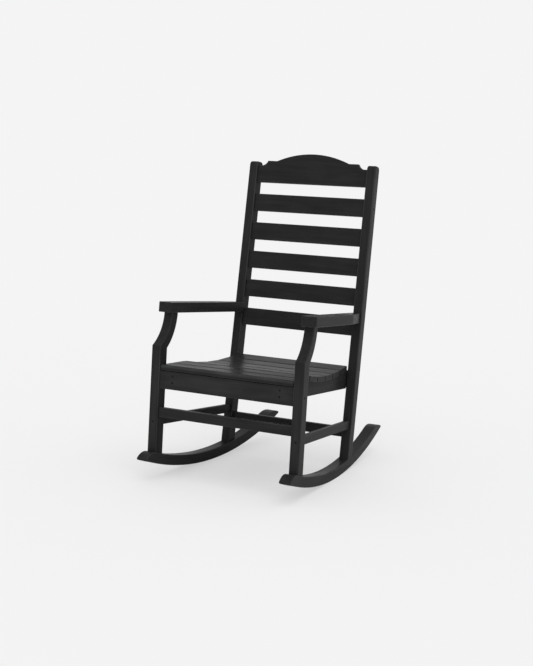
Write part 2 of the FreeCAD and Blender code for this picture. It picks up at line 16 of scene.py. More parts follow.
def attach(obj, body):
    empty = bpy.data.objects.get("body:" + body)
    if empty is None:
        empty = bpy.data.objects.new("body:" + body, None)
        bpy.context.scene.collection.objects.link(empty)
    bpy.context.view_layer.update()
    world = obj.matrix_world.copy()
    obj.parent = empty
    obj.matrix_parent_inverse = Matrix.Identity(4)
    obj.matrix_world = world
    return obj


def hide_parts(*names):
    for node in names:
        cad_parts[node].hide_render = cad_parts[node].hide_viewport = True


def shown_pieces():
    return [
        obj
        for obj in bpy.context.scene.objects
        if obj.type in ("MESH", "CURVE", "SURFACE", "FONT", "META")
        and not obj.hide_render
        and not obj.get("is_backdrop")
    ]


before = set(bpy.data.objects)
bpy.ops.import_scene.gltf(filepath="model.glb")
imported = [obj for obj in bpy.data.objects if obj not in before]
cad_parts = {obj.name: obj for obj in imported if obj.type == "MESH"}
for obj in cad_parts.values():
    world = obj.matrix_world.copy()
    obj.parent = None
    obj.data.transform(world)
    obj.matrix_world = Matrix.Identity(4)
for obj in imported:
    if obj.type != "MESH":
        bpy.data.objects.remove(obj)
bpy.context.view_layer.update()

bl_info = {
    "name": "Porch Rocking Chair",
    "version": (1, 0, 0),
    "blender": (4, 5, 0),
    "location": "View3D > Sidebar > Chair",
    "description": "Builds a ladder-back rocking chair of plastic boards with its studio stage",
    "category": "Add Mesh",
}

# Sizes: name, default, description. Lengths are in metres, angles in degrees
LENGTHS = (
    ("front_width", 0.596, "Across the front legs' outer faces"),
    ("seat_frame", 0.314, "Underside of the front apron above the runners' lowest point"),
    ("post_setback", 0.5340125, "Front legs' face to the posts' face at the seat frame"),
    ("post_rise", 0.837, "Length of a post above the seat frame"),
    ("leg_width", 0.036, "Width of a front leg or post, seen from the front"),
    ("leg_depth", 0.044, "Depth of a front leg or post, seen from the side"),
    ("knee", 0.466, "Height where a front leg starts to sweep back"),
    ("sweep_radius", 0.148, "Front edge of a leg's swept part"),
    ("post_top_radius", 0.013, "Rounded corners of a post's top"),
    ("post_top_edge", 0.0055, "Rounded edges round a post's top"),
    ("runner_radius", 1.350, "Underside of a runner"),
    ("runner_thickness", 0.038, "Height of a runner's board"),
    ("runner_width", 0.044, "Width of a runner"),
    ("runner_balance", 0.192, "Lowest point of a runner, ahead of the posts' face"),
    ("runner_nose", 0.066, "Runner ahead of the front legs' face"),
    ("runner_tail", 0.358, "Runner behind the posts' face"),
    ("nose_length", 0.050, "Runner's front end whose top curves down to the tip"),
    ("tail_length", 0.078, "Runner's rear end whose top curves down to the tip"),
    ("nose_end", 0.0065, "Height of a runner's tip"),
    ("tip_radius", 0.005, "Rounded lower corner of a runner's end"),
    ("board", 0.019, "Thickness of slats, aprons and stretchers"),
    ("slat_height", 0.067, "Height of a ladder slat"),
    ("slat_recess", 0.008, "Slats behind the posts' face"),
    ("lowest_slat", 0.196, "Lowest slat along the posts, above the seat frame"),
    ("crest_shoulder", 0.085, "Height of the top board at its shoulders"),
    ("crest_proud", 0.003, "Shoulders above the post tops"),
    ("crest_rise", 0.031, "Arch above the shoulders"),
    ("shoulder_length", 0.039, "Straight shoulder beside the arch"),
    ("cove_length", 0.0392, "Scooped end of the top board"),
    ("cove_radius", 0.030, "Radius of the scoop"),
    ("cove_drop", 0.019, "Depth of the scoop"),
    ("apron_height", 0.064, "Height of the aprons"),
    ("apron_recess", 0.002, "Apron behind the legs' face"),
    ("seat_slat", 0.072, "Width of a seat board"),
    ("seat_gap", 0.006, "Between two seat boards"),
    ("seat_lift", 0.003, "Seat boards above the aprons' height"),
    ("apron_gap", 0.0026, "Seat's dark gap above the front apron"),
    ("apron_edge", 0.0006, "Sharper edges along the dark gap above the front apron"),
    ("seat_dip", 0.0175, "Lowest point of the scooped seat"),
    ("seat_dip_ahead", 0.185, "Lowest point ahead of the seat's back edge"),
    ("seat_nose", 0.012, "Rounded front edge of the seat"),
    ("seat_side_gap", 0.0025, "Seat boards to legs and posts"),
    ("rail_thickness", 0.038, "Thickness of a seat rail"),
    ("rail_bottom", 0.0136, "Seat rail above the apron's underside, at the front"),
    ("rail_gap", 0.004, "Seat rail to the posts' inner faces"),
    ("front_stretcher", 0.211, "Underside of the front stretcher"),
    ("front_stretcher_height", 0.035, "Height of the front stretcher"),
    ("front_stretcher_recess", 0.005, "Front stretcher behind the legs' face"),
    ("rear_stretcher", 0.1275, "Underside of the rear stretcher"),
    ("rear_stretcher_height", 0.0375, "Height of the rear stretcher"),
    ("rear_stretcher_recess", 0.008, "Rear stretcher behind the posts' face"),
    ("side_stretcher", 0.2115, "Top of a side stretcher, at the front legs' face"),
    ("side_stretcher_height", 0.033, "Height of a side stretcher"),
    ("arm_underside", 0.583, "Underside of an armrest, at the front legs' face"),
    ("arm_thickness", 0.037, "Thickness of an armrest"),
    ("arm_front", 0.047, "Armrest's front, behind the front legs' face"),
    ("arm_out", 0.0132, "Armrest outside the leg"),
    ("arm_in", 0.0065, "Armrest inside the leg"),
    ("arm_corner", 0.006, "Rounded front corners of an armrest"),
    ("arm_bend", 0.060, "Outer edge where the armrest's taper starts"),
    ("arm_taper", 0.131, "Length of the armrest's taper"),
    ("arm_taper_end", 0.007, "Armrest inside the post's outer face at its end"),
    ("edge_radius", 0.0028, "Rounded long edges"),
    ("cut_edge", 0.0004, "Broken edge of a sawn end"),
    ("hole_radius", 0.0045, "Screw hole in a board's face"),
    ("screw_sunk", 0.0014, "Screw head below the board's face"),
    ("bolt_hole_radius", 0.0072, "Counterbore under a runner"),
    ("bolt_sunk", 0.010, "Bolt head inside its counterbore"),
    ("middle", 0.4143779, "Draw frame's zero ahead of the chair's middle at rest"),
    ("floor", -0.0144086, "Floor above the draw frame's zero at rest"),
)
ANGLES = (
    ("toe_in", 3.1, "Each side frame turns in towards the back"),
    ("post_rake", 5.7, "Posts lean back from the front legs"),
    ("sweep_start", 57.0, "Swept part from upright at the knee"),
    ("rest_lean", 2.2452515, "Backward lean at rest"),
)
RATIOS = (
    ("member_fall", 0.0325, "Drop of rails and side stretchers per length"),
    ("arm_fall", 0.043, "Drop of an armrest per length"),
)

SLAT_COUNT = 5
SEAT_COUNT = 7
SIDES = (("right", 1), ("left", -1))
BODY = "root"

# Fasteners, in metres
APRON_SCREWS = (0.025, 0.048)  # above the seat frame, into the seat rails
APRON_END_SCREW = 0.030  # above the seat frame, into the apron's end
SCREW_BITE = 0.020  # past the side member, where an end screw meets the board's middle
SCREW_DEPTH = 0.0042
BOLT_ROOM = 0.004  # counterbore past the bolt head's face
SCREW_HEAD = (0.0041, 0.0017)  # radius of the head and of its socket
BOLT_HEAD = (0.0068, 0.0032)
SOCKET_DEPTH = 0.0016
HEAD_WALL = 0.0024
RIM_DROP = 0.0002
LOBES = 6
LOBE_SHARE = 0.16
HEAD_SHARES = (0.001, 0.12, 0.24, 0.34, 0.42, 0.47, 0.5, 0.53, 0.6, 0.72, 0.86, 0.94, 0.985,
               1.0, 1.0)

# Boards between the sides are drawn to FAR_END, and points within END_ZONE of it are trimmed
FAR_END = 0.35
END_ZONE = 0.02
CLOSE = 1e-5
HOLE_RIM = 0.0004
HOLE_SHARE = 0.99  # triangles nearer to a hole's middle than this share of its rim fill it
BOLT_FLAT = 1.3  # half length, in hole radii, of the runner's straight side round a bolt
FLAT_SPACE = 1.5  # no other point of the runner nearer than this many half lengths
STRETCHER_EDGE = 1.5  # edges of the side stretchers, in edge radii

# Facets
HOLE_SIDES = 28
HEAD_SIDES = 48
RUNNER_POINTS = 56
RUNNER_END_STEPS = 16
RUNNER_TIP_STEPS = 6
SWEEP_STEPS = 28
POST_TOP_STEPS = 10
ARM_STEPS = 8
RAIL_STEPS = 40
COVE_STEPS = 16
ARCH_STEPS = 64
SEAT_NOSE_STEPS = 4  # more than other edges have
FLOOR_SIDES = 64
SHARP_ANGLE = math.radians(34)

# Triangulation: sizes are scaled up for it, and only what is inside the loop is kept
MESH_SCALE = 1000.0
INSIDE = 1
SAME_POINT = 1e-6
NEAR_STRAIGHT = 0.25  # sine of a corner that counts as part of a curve
LEAST_BEND = 0.2

# Noise of the boards: turns per metre along and across a board, detail, roughness
STREAKS = ((3.0, 70.0, 70.0), 4.0, 0.6)
CLOUDS = ((7.0, 16.0, 16.0), 3.0, 0.5)
FLECKS = ((160.0, 900.0, 900.0), 2.0, 0.5)
RIPPLE = ((4.0, 22.0, 22.0), 1.0, 0.5)
RIPPLE_HEIGHT, STREAK_HEIGHT, FLECK_HEIGHT = 0.00020, 0.00010, 0.000022
GRAIN_SHIFT = (3.7, 1.3, 2.1)  # metres from piece to piece in the uncut board
BOARD_TONES = (0.82, 1.22)
SPECULAR = 0.030
SPECKLE_SCALE = 1400.0
BARE_STEEL = (0.16, 0.16, 0.165)
WHITE = (1, 1, 1)

# Stage: the floor's fade and rim in floor radii, and its paper
FADE_END = 2
FLOOR_END = 2.1
PAPER_SCALE = 60.0
PAPER_TONE = 0.01
SENSOR = 36.0


def size_props():
    """Annotations of the size properties from the tables above."""
    kinds = ((LENGTHS, float, {"precision": 4, "unit": "LENGTH"}),
             (ANGLES, math.radians, {"unit": "ROTATION"}),
             (RATIOS, float, {"precision": 4, "subtype": "FACTOR"}))
    return {name: FloatProperty(name=name.replace("_", " ").capitalize(), description=text,
                                default=convert(value), **settings)
            for table, convert, settings in kinds for name, value, text in table}


class ChairSizes(bpy.types.PropertyGroup):
    __annotations__ = size_props()


class ChairFinish(bpy.types.PropertyGroup):
    board_color: FloatVectorProperty(
        name="Board colour", description="Black of the plastic boards", subtype="COLOR",
        default=(0.0232, 0.0232, 0.0230), min=0, max=1)
    # Paler edges: partly wear, partly a painted highlight along the rounded edges and hole rims
    worn_color: FloatVectorProperty(
        name="Worn colour", description="Paler tone of handled edges", subtype="COLOR",
        default=(0.062, 0.063, 0.064), min=0, max=1)
    roughness: FloatProperty(
        name="Roughness", description="Satin finish of the boards", default=0.34,
        min=0, max=1, subtype="FACTOR")
    steel_color: FloatVectorProperty(
        name="Screw colour", description="Black coating of the screws", subtype="COLOR",
        default=(0.0035, 0.0035, 0.0036), min=0, max=1)


class StageSettings(bpy.types.PropertyGroup):
    backdrop: FloatProperty(
        name="Backdrop", description="Paleness of floor and background", default=0.905,
        min=0, max=1, subtype="FACTOR")
    shadow_lift: FloatProperty(
        name="Shadow lift", description="How far the floor's shadow fades to the backdrop",
        default=0.55, min=0, max=1, subtype="FACTOR")
    sky: FloatProperty(
        name="Room light", description="Even light from all round", default=0.78, min=0)
    key: FloatProperty(
        name="Overhead light", description="Share of the light that comes from overhead",
        default=0.23, min=0)
    key_spread: FloatProperty(
        name="Spread", description="Width of the overhead light", default=math.radians(50),
        unit="ROTATION")
    key_from: FloatVectorProperty(
        name="Direction", description="Where the overhead light stands", subtype="DIRECTION",
        default=(0.25, -0.45, 1.0))
    clear_radius: FloatProperty(
        name="Floor radius", description="Where the floor starts to fade out", default=2.2,
        unit="LENGTH")
    lens: FloatProperty(
        name="Lens", description="Focal length on a 36 mm sensor", default=66.38,
        unit="CAMERA")
    edge_steps: IntProperty(
        name="Edge steps", description="Facets across a rounded edge", default=5, min=1, max=12)


# Plan: what follows from the sizes


class Plan:
    """The scene's sizes and materials of the chair, with what follows from the sizes."""

    def __init__(self, scene):
        self.s = s = scene.chair_sizes
        self.steps = scene.chair_stage.edge_steps
        made = bpy.data.materials
        self.board = made.get("plastic_board") or board_material(scene.chair_finish)
        self.steel = made.get("coated_steel") or steel_material(scene.chair_finish)
        self.half = s.front_width / 2
        self.runner_inner = s.runner_radius - s.runner_thickness
        self.runner_centre = s.post_setback - s.runner_balance
        self.rail_top = s.seat_frame + s.apron_height + s.seat_lift
        self.pitch = s.seat_slat + s.seat_gap
        self.crest_bottom = s.post_rise + s.crest_proud - s.crest_shoulder
        self.slat_pitch = (self.crest_bottom - s.lowest_slat) / SLAT_COUNT
        self.scoop_start = 2 * self.pitch
        self.dip_at = SEAT_COUNT * self.pitch - s.seat_gap - s.seat_dip_ahead
        run = self.dip_at - self.scoop_start
        self.scoop_radius = (run ** 2 + s.seat_dip ** 2) / (2 * s.seat_dip)
        self.scoop_z = self.rail_top - s.seat_dip + self.scoop_radius
        self.rear_apron = self.post_face(self.rail_top) + s.apron_recess
        self.rear_stretcher = (self.post_face(s.rear_stretcher + s.rear_stretcher_height)
                               + s.rear_stretcher_recess)
        self.rail_at = self.inner_face(self.rear_apron) - s.rail_gap - s.rail_thickness / 2
        self.back_face = (s.post_setback * math.cos(s.toe_in)
                          - s.leg_width * math.sin(s.toe_in) + s.slat_recess)
        self.sweep_centre = np.array([
            -s.sweep_radius * math.cos(s.sweep_start),
            s.knee + s.sweep_radius * math.sin(s.sweep_start)])

    def post_face(self, up):
        """How far back the posts' face is at a height."""
        return self.s.post_setback + (up - self.s.seat_frame) * math.tan(self.s.post_rake)

    def inner_face(self, y):
        """Half the space between the side members, at a distance back."""
        toe, width = self.s.toe_in, self.s.leg_width
        return self.half - width * math.cos(toe) - math.tan(toe) * (y + width * math.sin(toe))

    def post_point(self, depth, along):
        rake = self.s.post_rake
        return np.array([
            self.s.post_setback + along * math.sin(rake) + depth * math.cos(rake),
            self.s.seat_frame + along * math.cos(rake) - depth * math.sin(rake)])

    def post_foot(self, depth, radius):
        """Where a line of the post meets an arc of the runner."""
        rake = self.s.post_rake
        start = self.post_point(depth, 0)
        to = start - (self.runner_centre, self.s.runner_radius)
        along = to @ (math.sin(rake), math.cos(rake))
        reach = -along - math.sqrt(along ** 2 - (to @ to - radius ** 2))
        return self.post_point(depth, reach)

    def runner_top(self, back):
        drop = math.sqrt(self.runner_inner ** 2 - (back - self.runner_centre) ** 2)
        return self.s.runner_radius - drop

    def to_post(self, height, fall):
        """Where a falling line that starts at a height above the legs' face meets the post."""
        rake = math.tan(self.s.post_rake)
        back = (self.s.post_setback + (height - self.s.seat_frame) * rake) / (1 + fall * rake)
        return np.array([back, height - fall * back])

    def meets_arm(self, radius):
        """Where an arc of the leg's sweep reaches the armrest's underside."""
        fall, (cy, cz) = self.s.arm_fall, self.sweep_centre
        rise = self.s.arm_underside - cz
        a = 1 + fall ** 2
        b = -2 * (cy + rise * fall)
        c = cy ** 2 + rise ** 2 - radius ** 2
        back = (-b + math.sqrt(b * b - 4 * a * c)) / (2 * a)
        return np.array([back, self.s.arm_underside - fall * back])

    def on_back(self, depth, along):
        """(y, z) of a point that deep in the back boards and that far up them."""
        rake = self.s.post_rake
        return (self.back_face + depth * math.cos(rake) + along * math.sin(rake),
                self.s.seat_frame + along * math.cos(rake) - depth * math.sin(rake))

    def seat_slat(self, number):
        """Tilt, and (y, z) of the lower front edge, of a seat board."""
        if number <= 2:
            return 0.0, (number - 1) * self.pitch, self.rail_top
        chord = 2 * math.asin(self.s.seat_slat / 2 / self.scoop_radius)
        step = chord + self.s.seat_gap / self.scoop_radius
        start = math.asin((self.scoop_start - self.dip_at) / self.scoop_radius)
        start += (number - 3) * step
        return (start + chord / 2, self.dip_at + self.scoop_radius * math.sin(start),
                self.scoop_z - self.scoop_radius * math.cos(start))

    def settle(self, points):
        """Draw-frame points turned back by the rest lean and set on the floor."""
        points = np.asarray(points, float)
        turn, tip = math.cos(self.s.rest_lean), math.sin(self.s.rest_lean)
        y, z = points[..., 1], points[..., 2]
        return np.stack([points[..., 0], y * turn + z * tip - self.s.middle,
                         z * turn - y * tip - self.s.floor], -1)

    def side(self, points, sign):
        """Side-frame points (out from the outer face, back, up) into the draw frame."""
        x, back, up = np.asarray(points, float).T
        toe = self.s.toe_in
        across = self.half + x * math.cos(toe) - back * math.sin(toe)
        return np.stack([sign * across, x * math.sin(toe) + back * math.cos(toe), up], -1)

    def end_screw(self, y, up):
        """Back distance, in the side frame, of a screw into the end of a board at y."""
        toe = self.s.toe_in
        return (y + (self.s.leg_width + SCREW_BITE) * math.sin(toe)) / math.cos(toe), up


# Outlines: closed rows of (a, b) points, counter-clockwise


def arc(centre, start, end, steps):
    """Points of the shorter circle arc from start to end about a centre, ends included."""
    centre, start, end = (np.asarray(p, float) for p in (centre, start, end))
    first = math.atan2(*(start - centre)[::-1])
    turn = math.atan2(*(end - centre)[::-1]) - first
    turn = (turn + math.pi) % (2 * math.pi) - math.pi
    angles = first + turn * np.linspace(0, 1, steps + 1)
    spokes = np.stack([np.cos(angles), np.sin(angles)], -1)
    return centre + np.linalg.norm(start - centre) * spokes


def rounded(corners, radii, steps):
    """A polygon whose corners become arcs tangent to both sides; radius 0 keeps a corner."""
    corners = np.asarray(corners, float)
    rows = []
    for k, radius in enumerate(radii):
        corner = corners[k]
        if not radius:
            rows.append(corner[None])
            continue
        before = corners[k - 1] - corner
        after = corners[(k + 1) % len(corners)] - corner
        before /= np.linalg.norm(before)
        after /= np.linalg.norm(after)
        half = math.acos(float(before @ after)) / 2
        reach = radius / math.tan(half)
        middle = (before + after) / np.linalg.norm(before + after)
        rows.append(arc(corner + middle * radius / math.sin(half), corner + before * reach,
                        corner + after * reach, steps))
    return np.concatenate(rows)


def side_radii(outline, radius, cut, is_cut):
    """Edge radius of each outline side: cut where is_cut(middle of the side) holds."""
    middles = (outline + np.roll(outline, -1, 0)) / 2
    return np.where(is_cut(middles), cut, radius)


# Boards


class Shell:
    """Points, faces and edge wear of one closed board, in the board's own directions; the wear
    value also paints a highlight along the edges.
    """

    def __init__(self):
        self.points, self.worn, self.faces = [], [], []
        self.count = 0

    def add(self, points, worn):
        self.points.append(np.asarray(points, float))
        self.worn.append(np.full(len(points), float(worn)))
        self.count += len(points)
        return np.arange(self.count - len(points), self.count)

    def local(self):
        return np.concatenate(self.points)

    def band(self, low, high, skip=()):
        """Quads between two loops of points; sides in skip stay open."""
        quads = np.stack([low, np.roll(low, -1), np.roll(high, -1), high], -1)
        keep = np.setdiff1d(np.arange(len(quads)), skip)
        self.faces.extend(quads[keep].tolist())

    def cover(self, loop, e1, e2, holes=()):
        """A flat face over a loop, e1 x e2 outwards, with round holes (centre, radius, depth).

        The loop and the circles are triangulated together, and each hole gets a rim, a wall
        and a floor: circles of the same angles at growing depth.
        """
        if not holes:
            self.faces.append([int(i) for i in loop])
            return
        e1, e2 = np.asarray(e1, float), np.asarray(e2, float)
        out = np.cross(e1, e2)
        theta = np.arange(HOLE_SIDES) / HOLE_SIDES * 2 * math.pi
        circle = np.cos(theta)[:, None] * e1 + np.sin(theta)[:, None] * e2
        flat, edges = [loop], [(k, (k + 1) % len(loop)) for k in range(len(loop))]
        for centre, radius, depth in holes:
            # Rim rings get a paler tone: wear plus a painted highlight on each hole's rim
            rings = [self.add(centre + circle * across - out * down, worn)
                     for across, down, worn in ((radius + HOLE_RIM, 0, 0.3),
                                                (radius, HOLE_RIM, 1.0), (radius, depth, 0.0))]
            for high, low in zip(rings, rings[1:]):
                self.band(high, low)
            self.faces.append(rings[-1].tolist())
            first = sum(len(row) for row in flat)
            edges += [(first + k, first + (k + 1) % HOLE_SIDES) for k in range(HOLE_SIDES)]
            flat.append(rings[0])
        index = np.concatenate(flat)
        every = self.local()
        plane = np.stack([every[index] @ e1, every[index] @ e2], -1) * MESH_SCALE
        found, _, triangles, origins, _, _ = geometry.delaunay_2d_cdt(
            [Vector(p) for p in plane.tolist()], edges, [list(range(len(loop)))], INSIDE,
            SAME_POINT)
        back = np.array([index[row[0]] for row in origins])
        spots = np.array([p[:] for p in found])
        triangles = np.array([list(t) for t in triangles])
        centres = spots[triangles].mean(1)
        for centre, radius, _ in holes:
            away = centres - np.array([centre @ e1, centre @ e2]) * MESH_SCALE
            keep = np.hypot(*away.T) > (radius + HOLE_RIM) * MESH_SCALE * HOLE_SHARE
            triangles, centres = triangles[keep], centres[keep]
        a, b, c = (spots[triangles[:, k]] for k in range(3))
        turned = (b - a)[:, 0] * (c - a)[:, 1] - (b - a)[:, 1] * (c - a)[:, 0] < 0
        triangles[turned] = triangles[turned][:, ::-1]
        self.faces.extend(back[triangles].tolist())


def insets(outline, radii):
    """Offset of each outline point that lies radii[k] inside both sides meeting there."""
    run = np.roll(outline, -1, 0) - outline
    run /= np.linalg.norm(run, axis=1)[:, None]
    after = np.stack([run[:, 1], -run[:, 0]], -1)
    before = np.roll(after, 1, 0)
    r2, r1 = radii, np.roll(radii, 1)
    cross = before[:, 0] * after[:, 1] - before[:, 1] * after[:, 0]
    mean = before + after
    mean /= np.linalg.norm(mean, axis=1)[:, None]
    bend = np.clip((mean * after).sum(1), LEAST_BEND, 1)
    parallel = mean * ((r1 + r2) / 2 / bend)[:, None]
    safe = np.where(np.abs(cross) < NEAR_STRAIGHT, 1.0, cross)
    solved = np.stack([(r1 * after[:, 1] - r2 * before[:, 1]) / safe,
                       (r2 * before[:, 0] - r1 * after[:, 0]) / safe], -1)
    return np.where(np.abs(cross)[:, None] < NEAR_STRAIGHT, parallel, solved)


def plate(outline, low, high, upper, lower=None, holes=(), edge_holes=None, *, steps):
    """A board: an outline extruded from low to high with rounded edges.

    Around each edge the surface is a quarter circle: at angle t its point lies inside the
    outline by (1 - sin t) of the edge radius and below the face by (1 - cos t) of it.
    """
    lower = upper if lower is None else lower
    edge_holes = edge_holes or {}
    shell = Shell()
    angles = np.linspace(0, math.pi / 2, steps + 1)
    rings = []
    for level, sign, radii in ((high, -1, upper), (low, 1, lower)):
        offset = insets(outline, radii)
        drop = np.maximum(radii, np.roll(radii, 1))
        made = []
        for t in angles:
            flat = outline - offset * (1 - math.sin(t))
            depth = level + sign * drop * (1 - math.cos(t))
            # Paler at the middle of each rounded edge: wear plus a painted highlight there
            made.append(shell.add(np.column_stack([flat, depth]), math.sin(2 * t)))
        rings.append(made)
    over, under = rings
    for high_ring, low_ring in zip(over, over[1:]):
        shell.band(low_ring, high_ring)
    shell.band(under[-1], over[-1], skip=list(edge_holes))
    for low_ring, high_ring in zip(under, under[1:]):
        shell.band(low_ring, high_ring)
    faces = {1: [], -1: []}
    for spot, radius, depth, face in holes:
        faces[face].append((np.append(spot, high if face > 0 else low), radius, depth))
    shell.cover(over[0], (1, 0, 0), (0, 1, 0), faces[1])
    shell.cover(under[0][::-1], (0, 1, 0), (1, 0, 0), faces[-1])
    for k, found in edge_holes.items():
        nxt = (k + 1) % len(outline)
        run = outline[nxt] - outline[k]
        run = np.append(run / np.linalg.norm(run), 0)
        loop = np.array([under[-1][k], under[-1][nxt], over[-1][nxt], over[-1][k]])
        shell.cover(loop, run, (0, 0, 1), found)
    return shell


def add_piece(name, node, points, faces, attributes, material):
    """A smooth mesh that stands for a CAD node and rides on the chair."""
    mesh = bpy.data.meshes.new(name)
    mesh.from_pydata(points.tolist(), [], faces)
    for key, values in attributes.items():
        kind, field = ("FLOAT_VECTOR", "vector") if values.ndim > 1 else ("FLOAT", "value")
        mesh.attributes.new(key, kind, "POINT").data.foreach_set(
            field, values.astype(np.float32).ravel())
    mesh.polygons.foreach_set("use_smooth", np.ones(len(mesh.polygons), bool))
    mesh.set_sharp_from_angle(angle=SHARP_ANGLE)
    mesh.materials.append(material)
    mesh.update()
    piece = bpy.data.objects.new(name, mesh)
    bpy.context.scene.collection.objects.link(piece)
    piece.modifiers.new("Flat faces", "WEIGHTED_NORMAL").keep_sharp = True
    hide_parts(node)
    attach(piece, BODY)


def add_board(plan, node, shell, drawn, along):
    """The board of a node, from its shell and the same points in the draw frame.

    along is the board's long direction (0, 1 or 2); the grain attribute holds the place in
    the uncut board, longest first, moved on by a few metres from piece to piece.
    """
    points = plan.settle(drawn)
    order = [along] + [k for k in range(3) if k != along]
    grain = shell.local()[:, order] + np.array(GRAIN_SHIFT) * (len(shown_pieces()) + 1)
    first = np.array([face[:3] for face in shell.faces])
    a, b, c = (points[first[:, k]] for k in range(3))
    lean = np.cross(b - a, c - a)
    inward = np.einsum("ij,ij->i", lean, a - points.mean(0)).sum() < 0
    faces = [face[::-1] for face in shell.faces] if inward else shell.faces
    add_piece("board_" + node, node, points, faces,
              {"grain": grain, "worn": np.concatenate(shell.worn)}, plan.board)


# Shader maths


class Value:
    """A shader socket on which Python's operators add Math nodes."""

    def __init__(self, tree, socket):
        self.tree, self.socket = tree, socket

    def math(self, operation, *others):
        return self.tree.add("ShaderNodeMath", {"operation": operation}, self, *others)

    def __add__(self, other):
        return self.math("ADD", other)

    def __sub__(self, other):
        return self.math("SUBTRACT", other)

    def __mul__(self, other):
        return self.math("MULTIPLY", other)

    __radd__ = __add__

    def ramp(self, low, high):
        """0 below low, 1 above high, smooth between."""
        return self.tree.add("ShaderNodeMapRange", {"interpolation_type": "SMOOTHSTEP"},
                             self, low, high)


class Tree:
    """A material's or the world's nodes, added by type, settings and inputs."""

    def __init__(self, owner):
        owner.use_nodes = True
        self.nodes, self.links = owner.node_tree.nodes, owner.node_tree.links
        self.nodes.clear()

    def add(self, kind, settings=None, *inputs, output=0, **named):
        node = self.nodes.new(kind)
        for key, value in (settings or {}).items():
            setattr(node, key, value)
        pairs = list(zip(node.inputs, inputs))
        pairs += [(node.inputs[key.replace("_", " ")], value) for key, value in named.items()]
        for socket, value in pairs:
            if isinstance(value, Value):
                self.links.new(value.socket, socket)
            elif value is not None:
                socket.default_value = value
        return Value(self, node.outputs[output]) if node.outputs else None

    def attribute(self, name, output):
        return self.add("ShaderNodeAttribute", {"attribute_name": name}, output=output)

    def noise(self, place, scale, detail, roughness=0.5):
        return self.add("ShaderNodeTexNoise", None, place, Scale=scale, Detail=detail,
                        Roughness=roughness)

    def stretched(self, place, scale):
        return self.add("ShaderNodeVectorMath", {"operation": "MULTIPLY"}, place, scale)

    def mix(self, mask, first, second):
        """Mix two colours by a mask, at the first and the two colour inputs of the node."""
        return self.add("ShaderNodeMix", {"data_type": "RGBA"}, mask, *[None] * 5, first, second,
                        output=2)

    def principled(self, **named):
        """A Principled BSDF that goes straight to the material's output."""
        shader = self.add("ShaderNodeBsdfPrincipled", **named)
        self.add("ShaderNodeOutputMaterial", None, shader)


def rgba(color, factor=1.0):
    return (*(c * factor for c in color), 1.0)


def board_material(finish):
    """Black plastic board: faint streaks along the board, a fine grain, and paler edges that are
    partly wear, partly a painted highlight.
    """
    material = bpy.data.materials.new("plastic_board")
    tree = Tree(material)
    place = tree.attribute("grain", "Vector")
    streaks, clouds, flecks, ripple = (
        tree.noise(tree.stretched(place, scale), 1.0, detail, rough)
        for scale, detail, rough in (STREAKS, CLOUDS, FLECKS, RIPPLE))
    # Paler edges and hole rims, in patches: partly wear, partly a painted highlight where light
    # would catch them
    highlit_and_handled = tree.attribute("worn", "Fac") * (clouds.ramp(0.35, 0.7) * 0.6 + 0.4)
    tone = streaks.ramp(0.35, 0.7) * 0.55 + clouds.ramp(0.3, 0.75) * 0.45
    black = tree.mix(tone, *(rgba(finish.board_color, share) for share in BOARD_TONES))
    color = tree.mix(highlit_and_handled * 0.75, black, rgba(finish.worn_color))
    rough = (streaks.ramp(0.3, 0.7) - 0.5) * 0.16 + (clouds.ramp(0.3, 0.7) - 0.5) * 0.04
    rough = rough + finish.roughness + (flecks.ramp(0.4, 0.7) * 0.05)
    height = ripple * RIPPLE_HEIGHT + streaks * STREAK_HEIGHT + flecks * FLECK_HEIGHT
    bump = tree.add("ShaderNodeBump", Strength=1.0, Distance=1.0, Height=height)
    tree.principled(Base_Color=color, Roughness=rough, Normal=bump, IOR=1.5,
                    Specular_IOR_Level=SPECULAR)
    return material


def steel_material(finish):
    """Black coated steel, rubbed a little brighter where the driver bites."""
    material = bpy.data.materials.new("coated_steel")
    tree = Tree(material)
    place = tree.add("ShaderNodeTexCoord", output="Object")
    speckle = tree.noise(place, SPECKLE_SCALE, 3.0)
    rubbed = tree.attribute("worn", "Fac") * speckle.ramp(0.4, 0.65)
    color = tree.mix(rubbed * 0.8, rgba(finish.steel_color), rgba(BARE_STEEL))
    bump = tree.add("ShaderNodeBump", Strength=0.4, Distance=0.00004, Height=speckle)
    tree.principled(Base_Color=color, Roughness=0.34 + speckle * 0.18,
                    Metallic=0.6 + rubbed * 0.4, Normal=bump)
    return material


class ChairStep:
    """What the operators share that add pieces of the chair."""

    def execute(self, context):
        self.build(Plan(context.scene))
        return {"FINISHED"}


# Side boards


def side_pieces(plan, name, shell, along, draw=None):
    """Both copies of a board; draw(local, sign) gives its points in the draw frame.

    Without draw the board is one of a side frame, and its outline is (back, up).
    """
    draw = draw or (lambda local, sign: plan.side(local[:, [2, 0, 1]], sign))
    for side, sign in SIDES:
        add_board(plan, name + "_" + side, shell, draw(shell.local(), sign), along)


